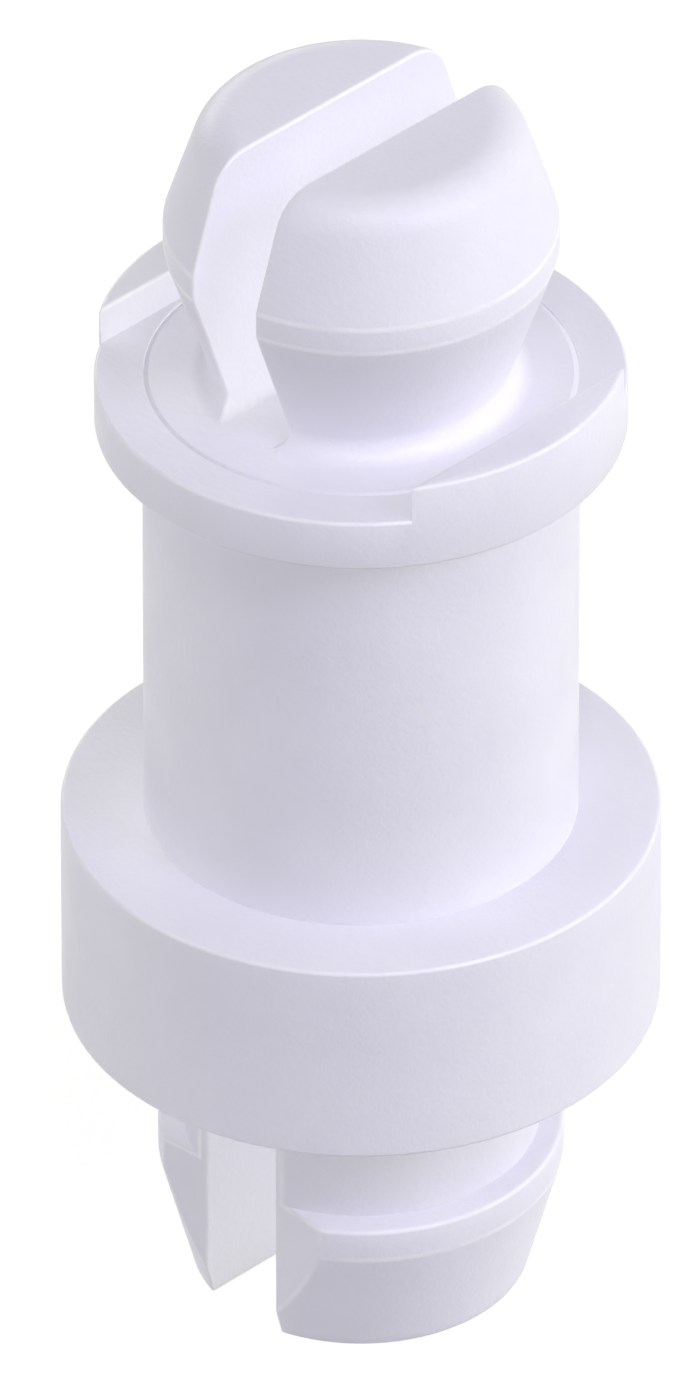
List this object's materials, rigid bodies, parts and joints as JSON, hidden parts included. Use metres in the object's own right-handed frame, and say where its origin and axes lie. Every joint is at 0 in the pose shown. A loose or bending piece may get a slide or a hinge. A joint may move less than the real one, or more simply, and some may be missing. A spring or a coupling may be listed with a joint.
{
  "type": "pcb support post",
  "caption": "One-piece nylon post that snaps into a chassis hole by a split barbed leg and holds a circuit board on raised seats under a split snap head.",
  "frame": {"origin": "on the post's axis, in the plane where the base collar rests on the chassis", "axes": "+Z along the post, from the chassis up to the board; X along the slots that split the leg and the head"},
  "size_m": [0.0092, 0.0092, 0.021],
  "materials": {
    "nylon": "satin moulded nylon, pale cool white"
  },
  "bodies": {
    "root": {"support_post": "nylon"}
  },
  "joints": []
}
